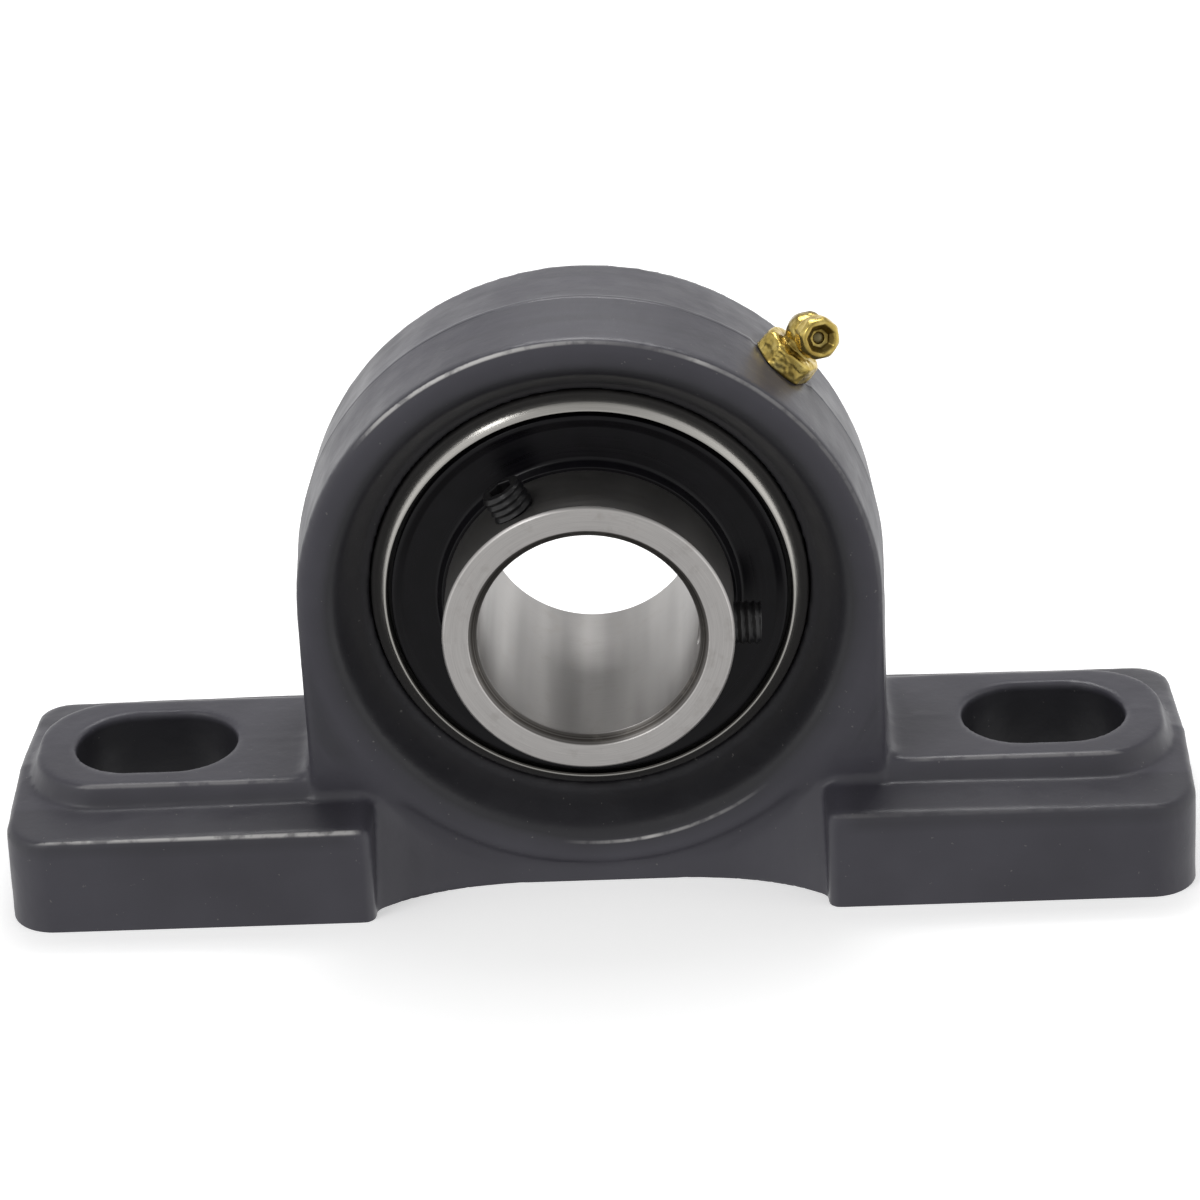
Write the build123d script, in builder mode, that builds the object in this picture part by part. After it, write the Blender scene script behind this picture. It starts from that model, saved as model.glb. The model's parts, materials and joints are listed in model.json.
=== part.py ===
from build123d import *
import os
from math import cos, sin, tan, radians, sqrt

# Pillow block bearing: a one-piece cast housing with two slotted feet and a
# self-aligning ball bearing insert held in a spherical seat.
# Millimetres. Origin: centre of the base's underside, under the bore.
# +X along the base, +Y along the shaft towards the back, +Z up.
# The set screw side of the insert faces -Y.

# ---------------------------------------------------------------- housing
shaft_height = 42.9        # bore axis above the base
base_length = 166.0
base_width = 45.0
foot_inner = 31.1          # inner end of each foot, from the centre
foot_root_height = 15.0    # height of the feet along the parting line
foot_end_height = 14.5
foot_corner_front = 6.5    # plan radii of the feet's outer corners
foot_corner_rear = 5.0
foot_draft_front = 1.0     # degrees
foot_draft_rear = 1.0
foot_fall_rear = 5.8       # slope of the feet's tops behind the parting line, degrees
pad_end = 79.4             # outer end of the raised pad round the slot
pad_top = 17.5
pad_half = 12.4
pad_corner_r = 10.0
pad_draft = 22.0
root_fillet = 2.4          # fillet between the pads and the barrel's sides
barrel_root_x = 40.15
face_fillet = 1.5          # fillet between the feet and the barrel's faces
slot_spacing = 125.6
slot_length = 23.0
slot_width = 17.0
barrel_half = 13.4         # half the barrel's width along the shaft
barrel_r = 40.7            # outside radius at the parting line
barrel_draft = 3.2         # degrees, each way from the parting line
web_relief_top = 14.0      # the web falls back below this height
web_relief_depth = 0.9
waist_half = 13.45         # half width of the web between the feet
waist_flare = 19.0         # half width where the web meets the feet
waist_flare_from = 12.0

# ---------------------------------------------------------------- spherical seat
seat_clear = 0.05
ring_sphere_r = 31.0       # spherical outside of the outer ring
seat_r = ring_sphere_r + seat_clear
seat_half = 7.5
flare_in = (7.9, 31.35)    # start of the flare: distance along the shaft, radius
flare_angle = 35.0
lip_r = 3.0
load_slot = 19.4           # width of the loading slots at the back of the seat

# ---------------------------------------------------------------- insert
bore_r = 15.0
inner_r = 19.75
inner_front = -22.2
inner_back = 15.9
ball_d = 9.525
pitch_r = 23.0
ball_count = 9
race_clear = 0.05
race_r = 4.95
outer_half = 9.5           # half the outer ring's width
land_r = 26.3              # outer ring's inside radius at its shoulders
ring_corner_r = 1.5        # between the sphere and the side faces
recess_r = 27.8            # seal recess radius
recess_from = 6.3
seal_t = 0.9
slinger_outer_r = 27.2
screw_r = 3.0              # M6 set screws
screw_y = -17.2
screw_angles = (118.0, -2.0)
screw_in = 15.25           # rest position of the screw's point, from the axis
screw_len = 8.2

# ---------------------------------------------------------------- cage
cage_in_r = 21.3
cage_out_r = 24.9
cage_t = 0.7
pocket_r = ball_d / 2 + 0.12
rivet_r = 0.8

# ---------------------------------------------------------------- grease fitting
fit_angle = 47.5           # direction of the fitting, above the horizontal
fit_hole_r = 3.0           # M6 thread
fit_face = 40.2            # spot face, from the bore axis
hex_af = 8.0
hex_h = 3.3
neck_r = 2.3
elbow_at = 46.0            # where the fitting's two axes meet, from the bore axis
elbow_r = 2.95
nose_bend = 67.5           # degrees between the fitting's two axes
nose_turn = 4.5            # how far the nose is swung round from straight ahead
nose_len = 5.1
nose_r = 3.0
fit_ball_r = 1.19          # check ball, held against the mouth
spring_seat = 0.45         # bottom of the check ball's chamber, from the elbow

os.makedirs("parts", exist_ok=True)
C = Vector(0, 0, shaft_height)
shaft = Axis((0, 0, shaft_height), (0, 1, 0))
# half-plane that holds the shaft axis: local x runs along the shaft, local y is the radius
section = Plane(origin=(0, 0, shaft_height), x_dir=(0, 1, 0), z_dir=(1, 0, 0))
# plane across the shaft at its middle: local x is +X, local y is +Z, normal -Y
cross = Plane(origin=(0, 0, shaft_height), x_dir=(1, 0, 0), z_dir=(0, -1, 0))


def at_y(y):
    # plane across the shaft at y, normal towards -Y
    return Plane(origin=(0, y, shaft_height), x_dir=(1, 0, 0), z_dir=(0, -1, 0))


# ================================================================= housing
# wedge that lets the web between the feet fall back below the round barrel face
with BuildPart() as web_relief:
    with BuildSketch(Plane.YZ):
        with BuildLine():
            Polyline(
                (-barrel_half - 1, web_relief_top + 1.0),
                (-barrel_half, web_relief_top),
                (-barrel_half + web_relief_depth, 0),
                (-barrel_half + web_relief_depth, -2),
                (-barrel_half - 1, -2),
                close=True,
            )
        make_face()
    extrude(amount=60, both=True)
    mirror(about=Plane.XZ)
    with BuildSketch(cross):
        Circle(barrel_r - barrel_half * tan(radians(barrel_draft)))
    extrude(amount=20, both=True, mode=Mode.SUBTRACT)

# web between the feet: narrow in the middle, fanning out to meet them
fan_r = ((foot_inner - waist_flare_from) ** 2 + (waist_flare - waist_half) ** 2) / (2 * (waist_flare - waist_half))
with BuildPart() as waist:
    with BuildSketch(Plane.XY):
        Rectangle(2 * (foot_inner + 4), 2 * waist_flare)
        with GridLocations(0, 2 * (waist_half + 20), 1, 2):
            Rectangle(2 * waist_flare_from, 40, mode=Mode.SUBTRACT)
        with GridLocations(2 * waist_flare_from, 2 * (waist_half + fan_r), 2, 2):
            Circle(fan_r, mode=Mode.SUBTRACT)
    extrude(amount=15.5, taper=17)

# one foot with its raised pad; the other is its mirror image.
# Drafted both ways from the parting line; the tops fall away further behind it.
with BuildPart() as foot:
    for side, draft in ((1, foot_draft_front), (-1, foot_draft_rear)):
        with BuildSketch(Plane.XZ):
            with BuildLine():
                Polyline(
                    (foot_inner, -6),
                    (base_length / 2 + 0.15, -6),
                    (base_length / 2 - 0.25, foot_end_height),
                    (foot_inner, foot_root_height),
                    close=True,
                )
            make_face()
        extrude(amount=side * base_width / 2, taper=draft)
    with BuildSketch(Plane.XY.offset(-10)):
        Rectangle(300, 200)
    extrude(amount=10, mode=Mode.SUBTRACT)
    ridge = Vector(base_length / 2 - 0.25 - foot_inner, 0, foot_end_height - foot_root_height).normalized()
    fall = Vector(0, cos(radians(foot_fall_rear)), -sin(radians(foot_fall_rear)))
    split(bisect_by=Plane(origin=(foot_inner, 0, foot_root_height), x_dir=ridge, z_dir=ridge.cross(fall)), keep=Keep.BOTTOM)
    for lo, hi, side, radius in ((60, 100, -1, foot_corner_front), (60, 100, 1, foot_corner_rear), (0, 60, -1, 1.6), (0, 60, 1, 1.6)):
        fillet(
            [
                e for e in foot.edges()
                if e.length > 10 and abs((e % 0.5).Z) > 0.95
                and e.center().Y * side > base_width / 2 - 2 and lo < e.center().X < hi
            ],
            radius=radius,
        )
    fillet(
        [e for e in foot.edges() if e.center().Z > 10 and not (abs(e.center().Y) < 1 and e.length > 3 and abs((e % 0.5).X) > 0.9)],
        radius=1.2,
    )
    with BuildSketch(Plane.XY.offset(pad_top)):
        with Locations(((pad_end + 36) / 2, 0)):
            Rectangle(pad_end - 36, 2 * pad_half)
        fillet([v for v in vertices() if v.X > 50], pad_corner_r)
    extrude(amount=-(pad_top - 12.6), taper=-pad_draft)
    fillet([e for e in faces().sort_by(Axis.Z)[-1].edges() if e.center().X > 37], radius=0.8)

with BuildPart() as housing:
    # barrel with straight sides down to the feet, drafted both ways from its parting line
    with BuildSketch(cross):
        with BuildLine():
            CenterArc((0, 0), barrel_r, 0, 180)
            Polyline((-barrel_r, 0), (-barrel_r, -shaft_height - 4), (barrel_r, -shaft_height - 4), (barrel_r, 0))
        make_face()
    extrude(amount=barrel_half, both=True, taper=barrel_draft)
    add(web_relief.part, mode=Mode.SUBTRACT)
    rim = housing.edges().filter_by(lambda e: abs(abs(e.center().Y) - barrel_half) < 0.02 and e.center().Z > 17)
    fillet(rim, radius=1.0)
    add(foot.part)
    add(foot.part.mirror(Plane.YZ))
    # fillets where the barrel's sides stand on the pads
    with BuildSketch(Plane(origin=(0, -11.4, 0), x_dir=(1, 0, 0), z_dir=(0, -1, 0))):
        for side in (-1, 1):
            with BuildLine():
                Polyline(
                    (side * (barrel_root_x + root_fillet), pad_top - 0.02),
                    (side * (barrel_root_x - 2), pad_top - 0.02),
                    (side * (barrel_root_x - 2), pad_top + root_fillet),
                    (side * barrel_root_x, pad_top + root_fillet),
                )
                RadiusArc(
                    (side * barrel_root_x, pad_top + root_fillet),
                    (side * (barrel_root_x + root_fillet), pad_top - 0.02),
                    side * -root_fillet,
                )
            make_face()
    extrude(amount=-22.8)
    # and where its faces stand on the feet
    with BuildSketch(Plane.YZ.offset(foot_inner + 1.7)):
        for side, z in ((-1, 14.62), (1, 13.4)):
            with BuildLine():
                Polyline(
                    (side * (barrel_half + face_fillet), z),
                    (side * (barrel_half - 1), z),
                    (side * (barrel_half - 1), z + face_fillet),
                    (side * barrel_half, z + face_fillet),
                )
                RadiusArc(
                    (side * barrel_half, z + face_fillet),
                    (side * (barrel_half + face_fillet), z),
                    side * -face_fillet,
                )
            make_face()
    extrude(amount=barrel_root_x - 0.4 - foot_inner - 1.7)
    mirror(about=Plane.YZ)
    add(waist.part)
    with BuildSketch(Plane.XY.offset(-10)):
        Rectangle(300, 200)
    extrude(amount=10, mode=Mode.SUBTRACT)
    # bolt slots
    with BuildSketch(Plane.XY.offset(pad_top)):
        with GridLocations(slot_spacing, 0, 2, 1):
            SlotOverall(slot_length, slot_width)
    extrude(amount=-pad_top - 1, mode=Mode.SUBTRACT)
    slot_rim = housing.edges().filter_by(
        lambda e: abs(e.center().Z - pad_top) < 0.02
        and slot_spacing / 2 - slot_length / 2 - 0.1 < abs(e.center().X) < slot_spacing / 2 + slot_length / 2 + 0.1
        and abs(e.center().Y) < slot_width / 2 + 0.1
    )
    print("slot rim", len(slot_rim))
    fillet(slot_rim, radius=0.6)
    # spherical seat, flared to both faces
    seat_edge = sqrt(seat_r**2 - seat_half**2)
    flare_out = flare_in[1] + (barrel_half + 1 - flare_in[0]) * tan(radians(flare_angle))
    with BuildSketch(section):
        with BuildLine():
            ThreePointArc((-seat_half, seat_edge), (0, seat_r), (seat_half, seat_edge))
            Polyline(
                (seat_half, seat_edge),
                flare_in,
                (barrel_half + 1, flare_out),
                (barrel_half + 1, 0),
                (-barrel_half - 1, 0),
                (-barrel_half - 1, flare_out),
                (-flare_in[0], flare_in[1]),
                (-seat_half, seat_edge),
            )
        make_face()
    revolve(axis=shaft, revolution_arc=360, mode=Mode.SUBTRACT)
    lip = housing.edges().filter_by(
        lambda e: abs(abs(e.center().Y) - barrel_half) < 0.02
        and e.geom_type == GeomType.CIRCLE
        and abs(e.radius - (flare_in[1] + (barrel_half - flare_in[0]) * tan(radians(flare_angle)))) < 0.2
    )
    print("lip", len(lip))
    fillet(lip, radius=lip_r)
    # loading slots: the insert goes in through the back, turned on its side
    with BuildSketch(at_y(barrel_half)):
        Circle(seat_r)
        with GridLocations(0, load_slot + 40, 1, 2):
            Rectangle(80, 40, mode=Mode.SUBTRACT)
    extrude(amount=barrel_half, mode=Mode.SUBTRACT)
    # spot face and tapped hole for the grease fitting
    d = Vector(cos(radians(fit_angle)), 0, sin(radians(fit_angle)))
    spot = Plane(origin=C + d * fit_face, x_dir=(0, 1, 0), z_dir=d)
    with BuildSketch(spot):
        Circle(5.3)
    extrude(amount=4, mode=Mode.SUBTRACT)
    with BuildSketch(spot):
        Circle(fit_hole_r)
    extrude(amount=-6.2, mode=Mode.SUBTRACT)
    with BuildSketch(spot):
        Circle(1.5)
    extrude(amount=-11, mode=Mode.SUBTRACT)

housing.part.label = "housing"
export_step(housing.part, "parts/housing.step")

# ================================================================= outer ring
with BuildPart() as outer_ring:
    corner = sqrt(ring_sphere_r**2 - outer_half**2)
    with BuildSketch(section):
        with BuildLine():
            ThreePointArc((-outer_half, corner), (0, ring_sphere_r), (outer_half, corner))
            Polyline(
                (outer_half, corner),
                (outer_half, recess_r),
                (recess_from, recess_r),
                (recess_from, land_r),
                (-recess_from, land_r),
                (-recess_from, recess_r),
                (-outer_half, recess_r),
                (-outer_half, corner),
            )
        make_face()
        with Locations((0, pitch_r + ball_d / 2 + race_clear - race_r)):
            Circle(race_r, mode=Mode.SUBTRACT)
    revolve(axis=shaft, revolution_arc=360)
    faces_rim = outer_ring.edges().filter_by(
        lambda e: abs(abs(e.center().Y) - outer_half) < 0.01 and e.geom_type == GeomType.CIRCLE and e.radius > 29
    )
    fillet(faces_rim, radius=ring_corner_r)
    mouth = outer_ring.edges().filter_by(
        lambda e: abs(abs(e.center().Y) - outer_half) < 0.01 and e.geom_type == GeomType.CIRCLE and e.radius < 29
    )
    chamfer(mouth, 0.15)
    # grease groove round the middle and the two holes in it
    with BuildSketch(section):
        with Locations((0, ring_sphere_r)):
            Rectangle(2.6, 1.2)
    revolve(axis=shaft, revolution_arc=360, mode=Mode.SUBTRACT)
    for angle in (fit_angle, fit_angle + 180):
        d = Vector(cos(radians(angle)), 0, sin(radians(angle)))
        with BuildSketch(Plane(origin=C + Vector(0, 6.0, 0) + d * 25, x_dir=(0, 1, 0), z_dir=(d + Vector(0, -0.72, 0)).normalized())):
            Circle(0.75)
        extrude(amount=8, mode=Mode.SUBTRACT)
outer_ring.part.label = "outer_ring"
export_step(outer_ring.part, "parts/outer_ring.step")

# ================================================================= inner ring
with BuildPart() as inner_ring:
    with BuildSketch(section):
        with BuildLine():
            Polyline(
                (inner_front, bore_r),
                (inner_front, inner_r),
                (inner_back, inner_r),
                (inner_back, bore_r),
                close=True,
            )
        make_face()
        with Locations((0, pitch_r - ball_d / 2 - race_clear + race_r)):
            Circle(race_r, mode=Mode.SUBTRACT)
    revolve(axis=shaft, revolution_arc=360)
    ends = inner_ring.edges().filter_by(
        lambda e: e.geom_type == GeomType.CIRCLE and (abs(e.center().Y - inner_front) < 0.01 or abs(e.center().Y - inner_back) < 0.01)
    )
    chamfer([e for e in ends if e.radius < bore_r + 1], 1.3)
    chamfer([e for e in ends if e.radius > bore_r + 1], 0.35)
    for angle in screw_angles:
        d = Vector(cos(radians(angle)), 0, sin(radians(angle)))
        with BuildSketch(Plane(origin=C + Vector(0, screw_y, 0) + d * 8, x_dir=(0, 1, 0), z_dir=d)):
            Circle(screw_r + 0.05)
        extrude(amount=16, mode=Mode.SUBTRACT)
inner_ring.part.label = "inner_ring"
export_step(inner_ring.part, "parts/inner_ring.step")

# ================================================================= seals
for name, side in (("front_seal", -1), ("rear_seal", 1)):
    with BuildPart() as seal:
        with BuildSketch(section):
            with BuildLine():
                Polyline(
                    (side * (recess_from + 0.02), recess_r),
                    (side * (recess_from + seal_t), recess_r),
                    (side * (recess_from + seal_t), inner_r + 1.6),
                    (side * (recess_from + seal_t + 0.5), inner_r + 0.35),
                    (side * (recess_from + 0.2), inner_r + 0.35),
                    (side * (recess_from + 0.02), inner_r + 1.9),
                    close=True,
                )
            make_face()
        revolve(axis=shaft, revolution_arc=360)
    seal.part.label = name
    export_step(seal.part, f"parts/{name}.step")

# ================================================================= slingers
# pressed on the inner ring: a collar, a shallow dish and a rim turned towards the seal
for name, side in (("front_slinger", -1), ("rear_slinger", 1)):
    with BuildPart() as slinger:
        with BuildSketch(section):
            with BuildLine():
                Polyline(
                    (side * 8.35, inner_r),
                    (side * 10.7, inner_r),
                    (side * 10.7, inner_r + 0.45),
                    (side * 9.35, inner_r + 1.1),
                    (side * 9.15, slinger_outer_r - 1.6),
                    (side * 9.45, slinger_outer_r - 0.5),
                    (side * 9.25, slinger_outer_r),
                    (side * 7.6, slinger_outer_r),
                    (side * 7.6, slinger_outer_r - 0.6),
                    (side * 8.6, slinger_outer_r - 0.7),
                    (side * 8.35, slinger_outer_r - 1.8),
                    close=True,
                )
            make_face()
        revolve(axis=shaft, revolution_arc=360)
    slinger.part.label = name
    export_step(slinger.part, f"parts/{name}.step")

# ================================================================= balls
ball_centres = [
    C + Vector(pitch_r * cos(radians(90 + i * 360 / ball_count)), 0, pitch_r * sin(radians(90 + i * 360 / ball_count)))
    for i in range(ball_count)
]
for i, centre in enumerate(ball_centres):
    with BuildPart() as ball:
        with Locations(centre):
            Sphere(ball_d / 2)
    ball.part.label = f"ball_{i + 1}"
    export_step(ball.part, f"parts/ball_{i + 1}.step")

# ================================================================= cage
# two pressed ribbons, cupped round the balls and flat where they are riveted together
rivet_from = 90 + 180 / ball_count
for name, side in (("cage_front", -1), ("cage_rear", 1)):
    with BuildPart() as cage:
        with Locations(*ball_centres):
            Sphere(pocket_r + cage_t)
        with BuildSketch(section):
            with Locations((side * 3.5, (cage_in_r + cage_out_r) / 2)):
                Rectangle(7, cage_out_r - cage_in_r)
        revolve(axis=shaft, revolution_arc=360, mode=Mode.INTERSECT)
        with BuildSketch(section):
            with Locations((side * cage_t / 2, (cage_in_r + cage_out_r) / 2)):
                Rectangle(cage_t, cage_out_r - cage_in_r)
        revolve(axis=shaft, revolution_arc=360)
        with Locations(*ball_centres):
            Sphere(pocket_r, mode=Mode.SUBTRACT)
        with BuildSketch(cross):
            with PolarLocations(pitch_r, ball_count, start_angle=rivet_from):
                Circle(rivet_r + 0.02)
        extrude(amount=2, both=True, mode=Mode.SUBTRACT)
    cage.part.label = name
    export_step(cage.part, f"parts/{name}.step")

with BuildPart() as cage_rivets:
    with BuildSketch(cross):
        with PolarLocations(pitch_r, ball_count, start_angle=rivet_from):
            Circle(rivet_r)
    extrude(amount=cage_t + 0.2, both=True)
    for side in (-1, 1):
        with BuildSketch(at_y(side * cage_t)):
            with PolarLocations(pitch_r, ball_count, start_angle=rivet_from):
                Circle(1.25)
        extrude(amount=-side * 0.5)
    heads = cage_rivets.edges().filter_by(lambda e: abs(abs(e.center().Y) - cage_t - 0.5) < 0.01)
    fillet(heads, radius=0.3)
cage_rivets.part.label = "cage_rivets"
export_step(cage_rivets.part, "parts/cage_rivets.step")

# ================================================================= set screws
for i, angle in enumerate(screw_angles):
    d = Vector(cos(radians(angle)), 0, sin(radians(angle)))
    tip = Plane(origin=C + Vector(0, screw_y, 0) + d * screw_in, x_dir=(0, 1, 0), z_dir=d)
    with BuildPart() as set_screw:
        with BuildSketch(tip):
            Circle(screw_r)
        extrude(amount=screw_len)
        point, head = set_screw.edges().filter_by(GeomType.CIRCLE).sort_by(
            lambda e: (e.center() - C).X * d.X + (e.center() - C).Z * d.Z
        )
        chamfer(point, 0.8)
        chamfer(head, 0.4)
        # hexagon socket
        with BuildSketch(tip.offset(screw_len)):
            RegularPolygon(1.5, 6, major_radius=False)
        extrude(amount=-3.2, mode=Mode.SUBTRACT)
        # cup point
        with Locations(tip.offset(0.35)):
            Cone(1.55, 0.3, 0.7, mode=Mode.SUBTRACT)
    set_screw.part.label = f"set_screw_{i + 1}"
    export_step(set_screw.part, f"parts/set_screw_{i + 1}.step")

# ================================================================= grease fitting
d = Vector(cos(radians(fit_angle)), 0, sin(radians(fit_angle)))
swing = Vector(0, -1, 0) * cos(radians(nose_turn)) + Vector(d.Z, 0, -d.X) * sin(radians(nose_turn))
n = d * cos(radians(nose_bend)) + swing * sin(radians(nose_bend))
seat_plane = Plane(origin=C + d * fit_face, x_dir=(0, 1, 0), z_dir=d)
elbow = C + d * elbow_at
side_dir = d.cross(n).normalized()
# plane that holds the nose axis: local y runs along the nose
nose_section = Plane(origin=elbow, x_dir=n.cross(side_dir).normalized(), z_dir=-side_dir)
nose_axis = Axis(elbow, n)
if nose_section.y_dir.dot(n) < 0:
    nose_section = Plane(origin=elbow, x_dir=-nose_section.x_dir, z_dir=-side_dir)
with BuildPart() as grease_fitting:
    with BuildSketch(seat_plane):
        RegularPolygon(hex_af / 2, 6, major_radius=False, rotation=30)
    extrude(amount=hex_h)
    with BuildSketch(seat_plane.offset(-1)):
        Circle(hex_af / 2 + 0.3)
    extrude(amount=hex_h + 2, mode=Mode.INTERSECT)
    with BuildSketch(seat_plane):
        Circle(fit_hole_r - 0.02)
    extrude(amount=-6)
    with BuildSketch(seat_plane.offset(hex_h - 0.2)):
        Circle(neck_r)
    extrude(amount=elbow_at - fit_face - hex_h + 0.2)
    with Locations(elbow - n * 0.5):
        Sphere(elbow_r)
    with BuildSketch(nose_section):
        with BuildLine():
            Polyline(
                (0, 0),
                (neck_r, 0),
                (neck_r, 2.6),
                (nose_r, 3.05),
                (nose_r, 4.0),
                (nose_r - 0.85, nose_len - 0.1),
                (nose_r - 1.1, nose_len),
                (1.35, nose_len),
                (1.05, nose_len - 0.3),
                (0, nose_len - 0.3),
                close=True,
            )
        make_face()
    revolve(axis=nose_axis, revolution_arc=360)
    # grease passages and the chamber of the check ball
    with BuildSketch(seat_plane.offset(-6)):
        Circle(0.9)
    extrude(amount=6 + elbow_at - fit_face, mode=Mode.SUBTRACT)
    with BuildSketch(nose_section):
        with BuildLine():
            Polyline(
                (0, -0.2), (0.7, -0.2), (0.7, spring_seat), (1.3, spring_seat), (1.3, nose_len - 1.9),
                (0.8, nose_len - 1.2), (0.8, nose_len + 1), (0, nose_len + 1), close=True,
            )
        make_face()
    revolve(axis=nose_axis, revolution_arc=360, mode=Mode.SUBTRACT)
grease_fitting.part.label = "grease_fitting"
export_step(grease_fitting.part, "parts/grease_fitting.step")
print("fitting", grease_fitting.part.bounding_box(), len(grease_fitting.part.solids()))

ball_at = nose_len - 2.16
with BuildPart() as fitting_ball:
    with Locations(elbow + n * ball_at):
        Sphere(fit_ball_r)
fitting_ball.part.label = "fitting_ball"
export_step(fitting_ball.part, "parts/fitting_ball.step")

# coil spring behind the check ball, squared ends left off
spring_wire_r = 0.12
spring_from = spring_seat + spring_wire_r + 0.02
spring_to = ball_at - 1.0
with BuildPart() as fitting_spring:
    with BuildLine():
        coil = Helix(pitch=0.5, height=spring_to - spring_from, radius=0.9, center=elbow + n * spring_from, direction=n)
    with BuildSketch(Plane(origin=coil @ 0, z_dir=coil % 0)):
        Circle(spring_wire_r)
    sweep(is_frenet=True)
fitting_spring.part.label = "fitting_spring"
export_step(fitting_spring.part, "parts/fitting_spring.step")
print("ball at", (elbow + n * ball_at), "nose", n, "spring foot z", (elbow + n * spring_seat).Z, "tip", elbow + n * nose_len, "ball to coil", spring_to)
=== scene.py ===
import json
from math import atan2, cos, exp, pi, radians, sin, sqrt, tan

import bmesh
import bpy
import numpy as np
from mathutils import Matrix, Vector
from mathutils import noise as pattern
from mathutils.bvhtree import BVHTree

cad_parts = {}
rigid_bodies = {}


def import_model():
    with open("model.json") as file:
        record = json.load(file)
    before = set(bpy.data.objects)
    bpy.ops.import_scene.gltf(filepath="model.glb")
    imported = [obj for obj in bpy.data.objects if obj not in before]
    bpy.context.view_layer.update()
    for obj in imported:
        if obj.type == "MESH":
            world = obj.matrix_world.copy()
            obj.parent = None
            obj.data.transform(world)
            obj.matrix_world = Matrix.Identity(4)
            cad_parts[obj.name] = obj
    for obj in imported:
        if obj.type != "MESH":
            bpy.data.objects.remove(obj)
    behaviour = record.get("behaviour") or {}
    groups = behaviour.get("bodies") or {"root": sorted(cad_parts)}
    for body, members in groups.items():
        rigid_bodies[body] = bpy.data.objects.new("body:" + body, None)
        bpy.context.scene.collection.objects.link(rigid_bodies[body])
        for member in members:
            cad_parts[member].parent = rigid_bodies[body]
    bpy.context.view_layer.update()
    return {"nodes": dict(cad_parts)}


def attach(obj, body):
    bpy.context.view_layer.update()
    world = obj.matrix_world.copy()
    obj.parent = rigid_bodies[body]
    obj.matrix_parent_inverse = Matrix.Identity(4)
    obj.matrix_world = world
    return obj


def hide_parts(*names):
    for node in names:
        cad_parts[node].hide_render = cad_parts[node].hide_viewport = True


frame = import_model()
nodes = frame["nodes"]


MM = 0.001
AXIS_Z = 42.9 * MM
SHAFT = 42.9
ROOM, ROOM_LEFT, ROOM_RIGHT, ROOM_TOP, ROOM_BACK, ROOM_FRONT = 0.15, 0.82, 1.0, 0.02, 1.35, 0.43
TOP_LIGHT, KEY_LIGHT, CROWN_LIGHT = 2.0, 1.6, 0.22


# ---------------------------------------------------------------- mesh helpers (millimetres in, metres out)
def link(obj):
    bpy.context.scene.collection.objects.link(obj)
    return obj


def mesh_from(name, verts, faces, smooth=True):
    me = bpy.data.meshes.new(name)
    me.from_pydata([(x * MM, y * MM, z * MM) for x, y, z in verts], [], faces)
    me.validate()
    if smooth:
        me.shade_smooth()
    return me


def outward(me):
    bm = bmesh.new()
    bm.from_mesh(me)
    bmesh.ops.remove_doubles(bm, verts=bm.verts, dist=2e-7)
    bmesh.ops.recalc_face_normals(bm, faces=bm.faces)
    bm.to_mesh(me)
    bm.free()
    return me


def rounded(points, steps=4):
    """closed outline of (along the shaft, radius, corner radius) with its corners rounded"""
    out = []
    n = len(points)
    for i, (y, r, c) in enumerate(points):
        p, a, b = Vector((y, r)), Vector(points[i - 1][:2]), Vector(points[(i + 1) % n][:2])
        if c <= 0:
            out.append((p.x, p.y))
            continue
        u, v = a - p, b - p
        cut = min(c / tan(u.angle(v) / 2), u.length * 0.48, v.length * 0.48)
        s, e = p + u.normalized() * cut, p + v.normalized() * cut
        for k in range(steps + 1):
            t = k / steps
            q = s * (1 - t) ** 2 + p * 2 * t * (1 - t) + e * t * t
            out.append((q.x, q.y))
    return out


def lathe(name, outline, segments=192, radius=None):
    """closed outline turned round the shaft; radius(r, angle, y) may vary it"""
    verts, faces, n = [], [], len(outline)
    for k in range(segments):
        a = 2 * pi * k / segments
        for y, r in outline:
            if radius:
                r = radius(r, a, y)
            verts.append((r * cos(a), y, r * sin(a) + SHAFT))
    for k in range(segments):
        m = (k + 1) % segments
        for i in range(n):
            j = (i + 1) % n
            faces.append((k * n + i, k * n + j, m * n + j, m * n + i))
    return outward(mesh_from(name, verts, faces))


def turned(name, frame_at, axis, rows, segments=64, radius=None):
    """rows of (distance along axis, radius) round an axis, capped at both ends"""
    z = Vector(axis).normalized()
    x = z.orthogonal().normalized()
    y = z.cross(x)
    verts, faces, m = [], [], len(rows)
    for h, r in rows:
        for k in range(segments):
            a = 2 * pi * k / segments
            q = radius(h, a, r) if radius else r
            p = Vector(frame_at) + z * h + (x * cos(a) + y * sin(a)) * q
            verts.append(tuple(p))
    for i in range(m - 1):
        for k in range(segments):
            j = (k + 1) % segments
            faces.append((i * segments + k, i * segments + j, (i + 1) * segments + j, (i + 1) * segments + k))
    faces.append(tuple(range(segments))[::-1])
    faces.append(tuple((m - 1) * segments + k for k in range(segments)))
    return outward(mesh_from(name, verts, faces))


def thread(pitch, depth):
    """how deep a V thread cuts at (distance along, angle), 0 at the crest"""
    def cut(h, a):
        t = (h / pitch - a / (2 * pi)) % 1.0
        return depth * (1 - abs(2 * t - 1)) ** 0.9
    return cut


def baked(obj):
    """the object's mesh with its modifiers applied"""
    bpy.context.view_layer.update()
    deps = bpy.context.evaluated_depsgraph_get()
    me = bpy.data.meshes.new_from_object(obj.evaluated_get(deps), depsgraph=deps)
    obj.modifiers.clear()
    old = obj.data
    obj.data = me
    bpy.data.meshes.remove(old)
    return me


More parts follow.
